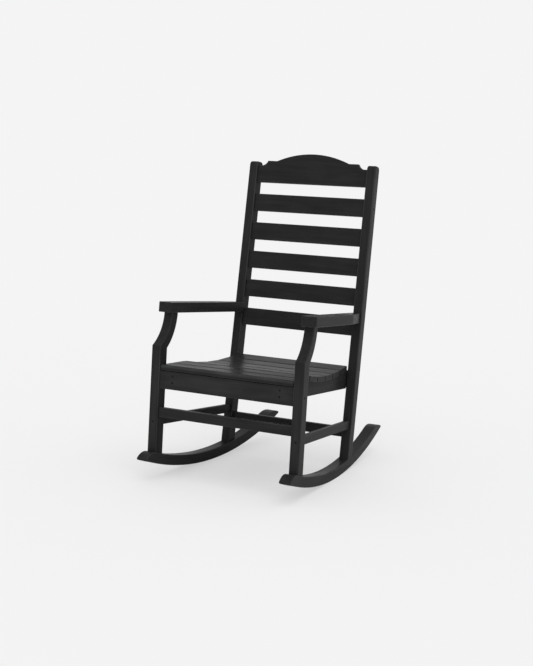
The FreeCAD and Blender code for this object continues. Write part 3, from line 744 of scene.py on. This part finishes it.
def runner_outline(plan, bolts):
    """Two arcs about one centre, whose upper one curves down to a thin tip at each end."""
    s = plan.s
    centre = np.array([plan.runner_centre, s.runner_radius])

    def polar(radius, lean):
        return centre + np.stack([radius * np.sin(lean), -radius * np.cos(lean)], -1)

    def lean(back):
        return math.asin((back - plan.runner_centre) / s.runner_radius)

    tip_at = s.runner_radius - s.tip_radius
    tip_turn = math.asin(s.tip_radius / tip_at)
    height = s.runner_thickness - s.nose_end

    def runner_end(end, way, length):
        """An end from the lower arc up: the tip's corner, then the curve to the upper arc.

        The curve lies R - sqrt(R^2 - u^2) below the upper arc, at u along the runner.
        """
        low = end - way * tip_turn
        tip = arc(polar(tip_at, low), polar(s.runner_radius, low),
                  polar(math.sqrt(tip_at ** 2 - s.tip_radius ** 2), end), RUNNER_TIP_STEPS)
        radius = (length ** 2 + height ** 2) / (2 * height)
        u = radius * np.sin(np.linspace(math.asin(length / radius), 0, RUNNER_END_STEPS + 1))
        drop = radius - np.sqrt(radius ** 2 - u ** 2)
        top = polar(plan.runner_inner + drop, end - way * (length - u) / plan.runner_inner)
        return np.concatenate([tip[1:], top])

    nose, tail = lean(-s.runner_nose), lean(s.post_setback + s.runner_tail)
    under = np.linspace(nose + tip_turn, tail - tip_turn, RUNNER_POINTS)
    for back in bolts:
        spot = lean(back)
        half = s.bolt_hole_radius * BOLT_FLAT / s.runner_radius
        under = under[np.abs(under - spot) > half * FLAT_SPACE]
        under = np.sort(np.append(under, [spot - half, spot + half]))
    upper = np.linspace(tail - s.tail_length / plan.runner_inner,
                        nose + s.nose_length / plan.runner_inner, RUNNER_POINTS)
    return np.concatenate([
        polar(s.runner_radius, under), runner_end(tail, 1, s.tail_length),
        polar(plan.runner_inner, upper[1:-1]), runner_end(nose, -1, s.nose_length)[::-1]])


def bolt_spots(plan):
    """Back distance and direction of the bolts up through a runner, in the side frame."""
    s = plan.s
    front = (s.leg_depth / 2, s.runner_radius - math.sqrt(
        s.runner_radius ** 2 - (s.leg_depth / 2 - plan.runner_centre) ** 2))
    rear = plan.post_foot(s.leg_depth / 2, s.runner_radius)
    return [(np.array(front), np.array([0.0, 1.0])),
            (rear, np.array([math.sin(s.post_rake), math.cos(s.post_rake)]))]


def leg_screw_height(plan):
    s = plan.s
    return s.side_stretcher - s.side_stretcher_height / 2 - s.member_fall * s.leg_depth


def apron_end(plan):
    """(back, up), in the side frame, of the screw into the front apron's end."""
    s = plan.s
    return plan.end_screw(s.apron_recess + s.board / 2, s.seat_frame + APRON_END_SCREW)


def slat_end(plan):
    """(back, up), in the side frame, of the screw into the top slat's end."""
    s = plan.s
    return plan.end_screw(*plan.on_back(
        s.board / 2, plan.crest_bottom - plan.slat_pitch + s.slat_height / 2))


class CHAIR_OT_runners(ChairStep, bpy.types.Operator):
    """Two curved runners with rounded noses"""
    bl_idname = "chair.runners"
    bl_label = "Runners"

    def build(self, plan):
        s = plan.s
        bolts = [spot for spot, _ in bolt_spots(plan)]
        outline = runner_outline(plan, [spot[0] for spot in bolts])
        middles = (outline + np.roll(outline, -1, 0)) / 2
        drilled = {}
        for spot in bolts:
            k = int(np.argmin(np.hypot(*(middles - spot).T)))
            drilled[k] = [(np.append(middles[k], -s.leg_width / 2), s.bolt_hole_radius,
                           s.bolt_sunk + BOLT_ROOM)]
        radii = np.full(len(outline), s.edge_radius)
        shell = plate(outline, -s.runner_width, 0, radii, edge_holes=drilled, steps=plan.steps)
        side_pieces(plan, "rocker", shell, 0)


class CHAIR_OT_front_legs(ChairStep, bpy.types.Operator):
    """Two front legs that sweep back to the armrests"""
    bl_idname = "chair.front_legs"
    bl_label = "Front legs"

    def build(self, plan):
        s = plan.s
        outer = s.sweep_radius + s.leg_width
        drop = math.sqrt(outer ** 2 - (s.leg_depth - plan.sweep_centre[0]) ** 2)
        knee = (s.leg_depth, plan.sweep_centre[1] - drop)
        rear = arc(plan.sweep_centre, knee, plan.meets_arm(outer), SWEEP_STEPS)
        front = arc(plan.sweep_centre, plan.meets_arm(s.sweep_radius), (0, s.knee), SWEEP_STEPS)
        foot, heel = (0, plan.runner_top(0)), (s.leg_depth, plan.runner_top(s.leg_depth))
        outline = np.concatenate([[foot, heel], rear, front])
        radii = np.full(len(outline), s.edge_radius)
        radii[[0, len(rear) + 1]] = s.cut_edge
        face = {len(outline) - 1: [(np.array([0, leg_screw_height(plan), -s.leg_width / 2]),
                                    s.hole_radius, SCREW_DEPTH)]}
        shell = plate(outline, -s.leg_width, 0, radii, edge_holes=face, steps=plan.steps,
                      holes=[(apron_end(plan), s.hole_radius, SCREW_DEPTH, 1)])
        side_pieces(plan, "front_leg", shell, 1)


class CHAIR_OT_back_posts(ChairStep, bpy.types.Operator):
    """Two raked posts with rounded tops"""
    bl_idname = "chair.back_posts"
    bl_label = "Back posts"

    def build(self, plan):
        s = plan.s
        corners = [plan.post_foot(0, plan.runner_inner),
                   plan.post_foot(s.leg_depth, plan.runner_inner),
                   plan.post_point(s.leg_depth, s.post_rise), plan.post_point(0, s.post_rise)]
        outline = rounded(corners, (0, 0, s.post_top_radius, s.post_top_radius),
                          POST_TOP_STEPS)
        radii = np.full(len(outline), s.post_top_edge)
        radii[[1, -1]] = s.edge_radius
        radii[0] = s.cut_edge
        shell = plate(outline, -s.leg_width, 0, radii, steps=plan.steps,
                      holes=[(slat_end(plan), s.hole_radius, SCREW_DEPTH, 1)])
        side_pieces(plan, "back_post", shell, 1)


class CHAIR_OT_side_stretchers(ChairStep, bpy.types.Operator):
    """Two side stretchers between legs and posts"""
    bl_idname = "chair.side_stretchers"
    bl_label = "Side stretchers"

    def build(self, plan):
        s = plan.s
        top, fall = s.side_stretcher, s.member_fall
        bottom = top - s.side_stretcher_height
        outline = np.array([
            (s.leg_depth, bottom - fall * s.leg_depth), plan.to_post(bottom, fall),
            plan.to_post(top, fall), (s.leg_depth, top - fall * s.leg_depth)])
        radii = np.array([s.edge_radius * STRETCHER_EDGE, s.cut_edge] * 2)
        inset = (s.leg_width - s.board) / 2
        shell = plate(outline, -inset - s.board, -inset, radii, steps=plan.steps)
        side_pieces(plan, "side_stretcher", shell, 0)


class CHAIR_OT_armrests(ChairStep, bpy.types.Operator):
    """Two armrests, tapered to the posts"""
    bl_idname = "chair.armrests"
    bl_label = "Armrests"

    def build(self, plan):
        s = plan.s
        end = plan.to_post(s.arm_underside, s.arm_fall)[0]
        slope = math.atan(s.arm_fall)
        length = end / math.cos(slope)
        inner = -(s.leg_width + s.arm_in)
        outline = rounded(
            [(inner, s.arm_front), (s.arm_out, s.arm_front), (s.arm_out, end - s.arm_taper),
             (-s.arm_taper_end, length), (inner, length)],
            (s.arm_corner, s.arm_corner, s.arm_bend, 0, 0), ARM_STEPS)
        radii = side_radii(outline, s.edge_radius, s.cut_edge,
                           lambda m: m[:, 1] > length - CLOSE)
        shell = plate(outline, 0, s.arm_thickness, radii, steps=plan.steps)

        def draw(local, sign):
            """Slope the arm, and let its end follow the post's raked face."""
            x, back, up = local.T
            shift = up * (math.tan(s.post_rake) - s.arm_fall) * (back > length - END_ZONE)
            run = back + shift
            return plan.side(np.stack([
                x, run * math.cos(slope) + up * math.sin(slope),
                s.arm_underside + up * math.cos(slope) - run * math.sin(slope)], -1), sign)

        side_pieces(plan, "armrest", shell, 1, draw)


# Cross boards


def trimmed(plan, x, y, gap=0.0):
    """X of a board's points, its ends moved to the side members' inner faces."""
    ends = np.abs(x) > FAR_END - END_ZONE
    return np.where(ends, x - np.sign(x) * (FAR_END - plan.inner_face(y) + gap), x)


def cross_outline(height):
    return np.array([(-FAR_END, 0), (FAR_END, 0), (FAR_END, height), (-FAR_END, height)])


def cross_board(plan, name, front, bottom, height, holes=(), upper=None):
    """An upright board from side to side, its face at front and its underside at bottom."""
    s = plan.s
    radii = np.array([s.edge_radius, s.cut_edge, upper or s.edge_radius, s.cut_edge])
    shell = plate(cross_outline(height), -s.board, 0, radii, holes=holes, steps=plan.steps)
    x, up, depth = shell.local().T
    y = front - depth
    add_board(plan, name, shell, np.stack([trimmed(plan, x, y), y, bottom + up], -1), 0)


class CHAIR_OT_frame_boards(ChairStep, bpy.types.Operator):
    """Aprons and stretchers from side to side, and the rails under the seat"""
    bl_idname = "chair.frame_boards"
    bl_label = "Frame boards"

    def build(self, plan):
        s = plan.s
        screws = [((sign * plan.rail_at, up), s.hole_radius, SCREW_DEPTH, 1)
                  for sign in (-1, 1) for up in APRON_SCREWS]
        cross_board(plan, "front_apron", s.apron_recess, s.seat_frame,
                    s.apron_height + s.seat_lift - s.apron_gap, screws, s.apron_edge)
        cross_board(plan, "rear_apron", plan.rear_apron, s.seat_frame, s.apron_height)
        cross_board(plan, "front_stretcher", s.front_stretcher_recess, s.front_stretcher,
                    s.front_stretcher_height)
        cross_board(plan, "rear_stretcher", plan.rear_stretcher, s.rear_stretcher,
                    s.rear_stretcher_height)
        self.rails(plan)

    def rails(self, plan):
        """Two rails: flat under the first seat boards, then along the scoop's arc."""
        s = plan.s
        front, end = s.apron_recess + s.board, plan.rear_apron
        low = s.seat_frame + s.rail_bottom
        last = plan.scoop_z - math.sqrt(plan.scoop_radius ** 2 - (end - plan.dip_at) ** 2)
        outline = np.concatenate([
            [(front, low - s.member_fall * front), (end, low - s.member_fall * end)],
            arc((plan.dip_at, plan.scoop_z), (end, last), (plan.scoop_start, plan.rail_top),
                RAIL_STEPS),
            [(front, plan.rail_top)]])
        radii = side_radii(outline, s.edge_radius / 2, s.cut_edge,
                           lambda m: (m[:, 0] < front + CLOSE) | (m[:, 0] > end - CLOSE))
        half = s.rail_thickness / 2
        shell = plate(outline, -half, half, radii, steps=plan.steps)
        side_pieces(plan, "seat_rail", shell, 0, lambda local, sign: np.stack(
            [local[:, 2] + sign * plan.rail_at, local[:, 0], local[:, 1]], -1))


class CHAIR_OT_seat_boards(ChairStep, bpy.types.Operator):
    """Seven seat boards on the scooped rails, the first with a rounded front"""
    bl_idname = "chair.seat_boards"
    bl_label = "Seat boards"

    def build(self, plan):
        s = plan.s
        for number in range(1, SEAT_COUNT + 1):
            upper = np.array([s.edge_radius, s.edge_radius / 2] * 2)
            lower, steps = upper.copy(), plan.steps
            if number == 1:
                upper[0], lower[0] = s.seat_nose, s.apron_edge
                steps += SEAT_NOSE_STEPS
            shell = plate(cross_outline(s.seat_slat), 0, s.board, upper, lower, steps=steps)
            tilt, back, up = plan.seat_slat(number)
            x, across, through = shell.local().T
            y = back + across * math.cos(tilt) - through * math.sin(tilt)
            z = up + across * math.sin(tilt) + through * math.cos(tilt)
            drawn = np.stack([trimmed(plan, x, y, s.seat_side_gap), y, z], -1)
            add_board(plan, "seat_slat_%d" % number, shell, drawn, 0)


class CHAIR_OT_back_boards(ChairStep, bpy.types.Operator):
    """Five ladder slats and the arched top board"""
    bl_idname = "chair.back_boards"
    bl_label = "Back boards"

    def build(self, plan):
        s = plan.s
        radii = np.array([s.edge_radius, s.cut_edge] * 2)
        for number in range(1, SLAT_COUNT + 1):
            bottom = plan.crest_bottom - number * plan.slat_pitch
            self.board(plan, "ladder_slat_%d" % number,
                       cross_outline(s.slat_height) + (0, bottom), radii)
        outline = self.crest(plan)
        self.board(plan, "crest_rail", outline, side_radii(
            outline, s.edge_radius, s.cut_edge, lambda m: np.abs(m[:, 0]) > FAR_END - CLOSE))

    def board(self, plan, node, outline, radii):
        """A board between the posts; its outline is (across, along the posts)."""
        shell = plate(outline, -plan.s.board, 0, radii, steps=plan.steps)
        x, along, depth = shell.local().T
        y, z = plan.on_back(-depth, along)
        add_board(plan, node, shell, np.stack([trimmed(plan, x, y), y, z], -1), 0)

    def crest(self, plan):
        """Outline of the top board: arch, shoulders and a scoop at each post."""
        s = plan.s
        low, shoulder = plan.crest_bottom, plan.crest_bottom + s.crest_shoulder
        cove = plan.inner_face(plan.on_back(0, shoulder)[0]) - s.cove_length
        arch = cove - s.shoulder_length
        rise = s.cove_radius - s.cove_drop
        cove_at = cove + math.sqrt(s.cove_radius ** 2 - rise ** 2)
        radius = (arch ** 2 + s.crest_rise ** 2) / (2 * s.crest_rise)
        dip = shoulder - s.cove_drop
        right = np.concatenate([
            [(FAR_END, low), (FAR_END, dip)],
            arc((cove_at, shoulder + rise), (cove_at, dip), (cove, shoulder),
                COVE_STEPS),
        ])
        arch_row = arc((0, shoulder + s.crest_rise - radius), (arch, shoulder),
                       (-arch, shoulder), ARCH_STEPS)
        return np.concatenate([right, arch_row, right[::-1] * (-1, 1)])


# Fasteners


def screw_head(radius, socket):
    """A flat screw head with a lobed socket, facing +Z, and its outer wall.

    At angle t and share q of the radius the surface is flat, drops by the socket's depth
    inside the radius socket * (1 + LOBE_SHARE * cos(LOBES * t)), and turns down at the rim.
    """
    theta = np.arange(HEAD_SIDES) / HEAD_SIDES * 2 * math.pi
    lobe = socket * (1 + LOBE_SHARE * np.cos(LOBES * theta)) / radius
    q, t = np.meshgrid(HEAD_SHARES, theta, indexing="ij")
    r = np.where(q < 0.5, q * 2 * lobe, lobe + (q - 0.5) * 2 * (1 - lobe))
    deep = 1 / (1 + np.exp((q - 0.485) * 90))
    z = -SOCKET_DEPTH * deep - RIM_DROP * np.clip((q - 0.9) / 0.1, 0, 1) ** 2
    z[-1] = -HEAD_WALL
    worn = np.exp(-((q - 0.5) / 0.05) ** 2) + 0.6 * (q > 0.9) * (q < 1)
    points = np.stack([r * radius * np.cos(t), r * radius * np.sin(t), z], -1)
    grid = np.arange(q.size).reshape(q.shape)
    turned = np.roll(grid, -1, 1)
    faces = np.stack([grid[:-1], grid[1:], turned[1:], turned[:-1]], -1).reshape(-1, 4).tolist()
    faces += [grid[0].tolist(), grid[-1][::-1].tolist()]
    return points.reshape(-1, 3), faces, worn.ravel()


class CHAIR_OT_fasteners(ChairStep, bpy.types.Operator):
    """Screws and bolts in their holes, and the dowels' finish"""
    bl_idname = "chair.fasteners"
    bl_label = "Fasteners"

    def build(self, plan):
        s = plan.s
        sunk, middle = s.screw_sunk, -s.leg_width / 2
        screw, bolt = screw_head(*SCREW_HEAD), screw_head(*BOLT_HEAD)
        both = [lambda points, sign=sign: plan.side(points, sign) for _, sign in SIDES]
        apron = [((sign * plan.rail_at, s.apron_recess + sunk, s.seat_frame + up), (0, -1, 0))
                 for sign in (-1, 1) for up in APRON_SCREWS]
        leg = [((middle, sunk, leg_screw_height(plan)), (0, -1, 0))]
        side = [((-sunk, *spot), (1, 0, 0)) for spot in (apron_end(plan), slat_end(plan))]
        runner = [((middle, *(spot + up * s.bolt_sunk)), (0, *-up))
                  for spot, up in bolt_spots(plan)]
        self.group(plan, "heads_apron", "apron_screws", apron, [np.asarray], screw)
        self.group(plan, "heads_leg", "leg_screws", leg, both, screw)
        self.group(plan, "heads_side", "side_screws", side, both, screw)
        self.group(plan, "heads_runner", "rocker_bolts", runner, both, bolt)
        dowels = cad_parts["arm_dowels"]
        dowels.data.materials.clear()
        dowels.data.materials.append(plan.board)

    def group(self, plan, name, node, spots, frames, head):
        """One piece of equal heads, whose +Z each spot's direction turns out of the board.

        Each of frames takes the spots to the draw frame.
        """
        points, faces, worn = head
        places, polygons = [], []
        for draw in frames:
            for spot, out in spots:
                at, ahead = plan.settle(draw(np.array([spot, np.add(spot, out)])))
                turn = Vector(ahead - at).to_track_quat("Z", "Y").to_matrix()
                start = len(places) * len(points)
                places.append(points @ np.array(turn).T + at)
                polygons += [[start + k for k in face] for face in faces]
        add_piece(name, node, np.concatenate(places), polygons,
                  {"worn": np.tile(worn, len(places))}, plan.steel)


# Stage


def floor_material(stage):
    """Pale paper floor that fades out far from the chair and is clear from below."""
    material = bpy.data.materials.new("pale_floor")
    tree = Tree(material)
    place = tree.add("ShaderNodeTexCoord", output="Object")
    away = tree.add("ShaderNodeVectorMath", {"operation": "LENGTH"}, place, output="Value")
    below = tree.add("ShaderNodeNewGeometry", output="Backfacing")
    fade = away.ramp(stage.clear_radius, stage.clear_radius * FADE_END).math("MAXIMUM", below)
    speck = tree.noise(place, PAPER_SCALE, 3.0)
    pale = tree.mix(speck, rgba(WHITE, stage.backdrop), rgba(WHITE, stage.backdrop + PAPER_TONE))
    paper = tree.add("ShaderNodeBsdfDiffuse", None, pale)
    seen = tree.add("ShaderNodeLightPath", output="Is Camera Ray") * stage.shadow_lift
    glow = tree.add("ShaderNodeEmission", None, rgba(WHITE, stage.backdrop), 1.0)
    paper = tree.add("ShaderNodeMixShader", None, seen, paper, glow)
    clear = tree.add("ShaderNodeBsdfTransparent")
    shader = tree.add("ShaderNodeMixShader", None, fade, paper, clear)
    tree.add("ShaderNodeOutputMaterial", None, shader)
    return material


def light_world(context, stage):
    """Even room light, seen by camera, glossy and transmitted rays as a pale backdrop."""
    world = bpy.data.worlds.new("studio")
    context.scene.world = world
    tree = Tree(world)
    path = tree.add("ShaderNodeLightPath").socket.node
    camera, glossy, clear = (Value(tree, path.outputs["Is %s Ray" % kind])
                             for kind in ("Camera", "Glossy", "Transmission"))
    seen = camera.math("MAXIMUM", glossy).math("MAXIMUM", clear)
    room = tree.add("ShaderNodeBackground", None, rgba(WHITE), stage.sky)
    pale = tree.add("ShaderNodeBackground", None, rgba(WHITE), stage.backdrop)
    shader = tree.add("ShaderNodeMixShader", None, seen, room, pale)
    tree.add("ShaderNodeOutputWorld", None, shader)


def overhead_light(context, stage):
    """A wide soft light from far above, equally strong all over the floor."""
    lamp = bpy.data.lights.new("overhead", "SUN")
    lamp.energy, lamp.angle = stage.key * math.pi, stage.key_spread
    lamp_object = bpy.data.objects.new("overhead", lamp)
    context.scene.collection.objects.link(lamp_object)
    aim = -Vector(stage.key_from)
    lamp_object.rotation_euler = aim.to_track_quat("-Z", "Y").to_euler()


# The camera in the draw frame: place, right, up and forward
CAMERA = ((1.9549, -3.7021, 0.9984), (0.89475, 0.44310, 0.05554),
          (-0.09738, 0.07221, 0.99262), (-0.43582, 0.89356, -0.10776))


def add_camera(context, plan, stage):
    place, right, up, ahead = (np.array(v) for v in CAMERA)
    points = plan.settle(np.array([place, place + right, place + up, place + ahead]))
    right, up, ahead = points[1:] - points[0]
    data = bpy.data.cameras.new("camera")
    data.lens, data.sensor_width = stage.lens, SENSOR
    camera = bpy.data.objects.new("camera", data)
    context.scene.collection.objects.link(camera)
    rows = np.eye(4)
    rows[:3] = np.column_stack([right, up, -ahead, points[0]])
    camera.matrix_world = Matrix(rows.tolist())
    context.scene.camera = camera


class CHAIR_OT_stage(bpy.types.Operator):
    """Pale floor, soft light and the camera"""
    bl_idname = "chair.stage"
    bl_label = "Stage"

    def execute(self, context):
        stage = context.scene.chair_stage
        plan = Plan(context.scene)
        radius = stage.clear_radius * FLOOR_END
        theta = np.arange(FLOOR_SIDES) / FLOOR_SIDES * 2 * math.pi
        rim = np.column_stack([np.cos(theta), np.sin(theta), theta * 0]) * radius
        mesh = bpy.data.meshes.new("floor")
        mesh.from_pydata(rim.tolist(), [], [list(range(FLOOR_SIDES))])
        mesh.materials.append(floor_material(stage))
        floor = bpy.data.objects.new("floor", mesh)
        context.scene.collection.objects.link(floor)
        floor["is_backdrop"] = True
        light_world(context, stage)
        overhead_light(context, stage)
        add_camera(context, plan, stage)
        context.scene.view_settings.view_transform = "Standard"
        return {"FINISHED"}


class CHAIR_PT_panel(bpy.types.Panel):
    """The chair's operators and settings in the sidebar"""
    bl_label = "Rocking chair"
    bl_space_type = "VIEW_3D"
    bl_region_type = "UI"
    bl_category = "Chair"

    def draw(self, context):
        layout = self.layout
        for operator in OPERATORS:
            layout.operator(operator.bl_idname)
        for group in ("chair_finish", "chair_stage", "chair_sizes"):
            settings = getattr(context.scene, group)
            column = layout.column()
            for key in settings.bl_rna.properties.keys():
                if key not in ("rna_type", "name"):
                    column.prop(settings, key)


OPERATORS = (CHAIR_OT_runners, CHAIR_OT_front_legs, CHAIR_OT_back_posts,
             CHAIR_OT_side_stretchers, CHAIR_OT_armrests, CHAIR_OT_frame_boards,
             CHAIR_OT_seat_boards, CHAIR_OT_back_boards, CHAIR_OT_fasteners, CHAIR_OT_stage)
CLASSES = (ChairSizes, ChairFinish, StageSettings, *OPERATORS, CHAIR_PT_panel)


def register():
    for cls in CLASSES:
        bpy.utils.register_class(cls)
    bpy.types.Scene.chair_sizes = PointerProperty(type=ChairSizes)
    bpy.types.Scene.chair_finish = PointerProperty(type=ChairFinish)
    bpy.types.Scene.chair_stage = PointerProperty(type=StageSettings)


def unregister():
    for group in ("chair_stage", "chair_finish", "chair_sizes"):
        delattr(bpy.types.Scene, group)
    for cls in reversed(CLASSES):
        bpy.utils.unregister_class(cls)


def main():
    register()
    for operator in OPERATORS:
        family, name = operator.bl_idname.split(".")
        getattr(getattr(bpy.ops, family), name)()
    bpy.context.view_layer.update()


if __name__ == "__main__":
    main()
